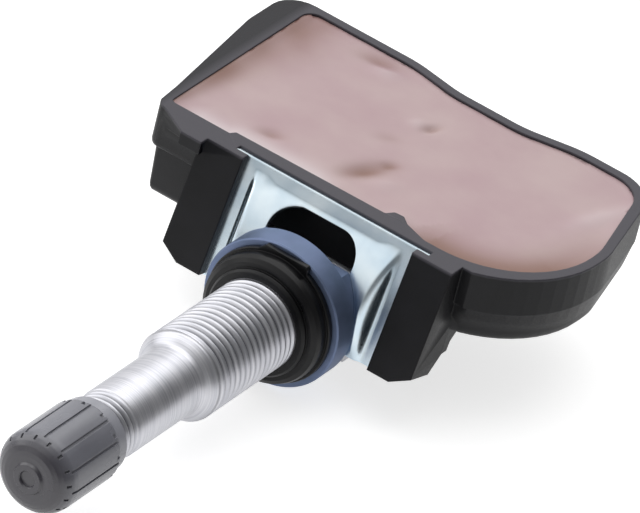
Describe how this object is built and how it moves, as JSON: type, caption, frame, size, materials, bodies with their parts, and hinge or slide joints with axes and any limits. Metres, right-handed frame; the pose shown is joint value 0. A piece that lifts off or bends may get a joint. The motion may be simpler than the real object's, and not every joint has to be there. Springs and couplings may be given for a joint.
{
  "type": "tyre pressure sensor",
  "caption": "Clamp-in tyre pressure sensor: potted black housing on a swivelling steel bracket, with an aluminium valve, seal, washer and cap.",
  "frame": {"origin": "point on the valve's axis at the seal's front face, where the thread leaves the seal", "axes": "-Y along the valve towards its cap, +X along the housing towards the battery end, +Z square to the potting, out of the open side"},
  "size_m": [0.0508, 0.0827, 0.0192],
  "materials": {
    "aluminium": "turned, bright",
    "brass": "turned",
    "white_plastic": "moulded",
    "rubber": "moulded, satin",
    "spring_steel": "drawn wire",
    "blue_zinc": "blue zinc plated",
    "zinc_steel": "bluish zinc plated, satin",
    "cap_plastic": "moulded, satin",
    "black_plastic": "glass-filled nylon, fine grain",
    "potting": "poured, satin",
    "board": "solder mask",
    "cell_steel": "nickel plated",
    "chip_plastic": "moulded",
    "ferrite": "sintered, matt",
    "copper": "enamelled copper wire",
    "ceramic": "fired ceramic"
  },
  "bodies": {
    "valve": {"valve_stem": "aluminium", "core_plug": "brass", "core_barrel": "brass", "core_seal": "white_plastic", "core_spring": "spring_steel", "seal": "rubber", "dome_washer": "blue_zinc"},
    "pin": {"core_pin": "brass", "pin_cup": "rubber"},
    "cap_travel": {"cap_disc": "rubber"},
    "cap": {"valve_cap": "cap_plastic"},
    "sensor": {"housing": "black_plastic", "bracket": "zinc_steel", "potting": "potting", "circuit_board": "board", "button_cell": "cell_steel", "cell_tab_top": "cell_steel", "cell_tab_bottom": "cell_steel", "sensor_chip": "chip_plastic", "port_seal": "rubber", "ferrite_core": "ferrite", "coil_winding": "copper", "aerial": "brass", "crystal": "cell_steel", "capacitors": "ceramic", "resistors": "chip_plastic"}
  },
  "joints": [
    {"name": "housing_swivel", "type": "hinge", "parent": "valve", "child": "sensor", "pos_m": [0, 0.01904, 0], "axis": [1, 0, 0], "range_deg": [-3, 17]},
    {"name": "cap_slide", "type": "slide", "parent": "valve", "child": "cap_travel", "axis": [0, -1, 0], "range_m": [0, 0.00953]},
    {"name": "cap_turn", "type": "hinge", "parent": "cap_travel", "child": "cap", "pos_m": [0, -0.04, 0], "axis": [0, -1, 0], "range_deg": [0, 4360]},
    {"name": "core_pin_slide", "type": "slide", "parent": "valve", "child": "pin", "axis": [0, 1, 0], "range_m": [0, 0.0012], "stiffness_N_per_m": 1500, "springref_m": -0.002, "deforming": ["core_spring"]}
  ],
  "couplings": [
    {"joint": "cap_turn", "follows": "cap_slide", "rad_per_m": 7913.3}
  ]
}
